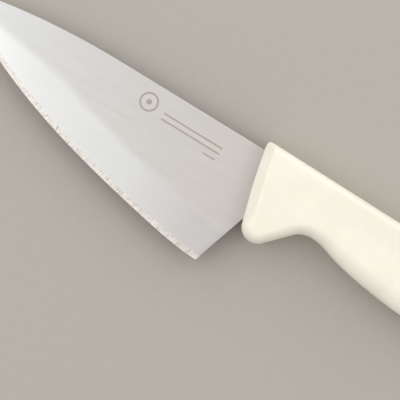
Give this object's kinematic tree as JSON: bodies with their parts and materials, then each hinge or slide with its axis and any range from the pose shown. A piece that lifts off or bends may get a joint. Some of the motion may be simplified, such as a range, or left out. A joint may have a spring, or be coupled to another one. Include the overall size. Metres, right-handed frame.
{
  "type": "chef knife",
  "caption": "Wide chef knife: one steel blade with a hidden tang and a moulded cream plastic handle with a finger guard.",
  "frame": {"origin": "middle of the knife's bounding box, on the surface that its handle lies on", "axes": "+X towards the tip, +Y towards the cutting edge, +Z out of the left face of the blade, away from the surface"},
  "size_m": [0.28, 0.0606, 0.018],
  "materials": {
    "blade_steel": "fine brushed satin, with a brighter ground edge",
    "etched_mark": "matt laser etching",
    "handle_plastic": "cream polypropylene with a fine satin texture"
  },
  "bodies": {
    "root": {"blade": "blade_steel", "handle": "handle_plastic"}
  },
  "joints": []
}
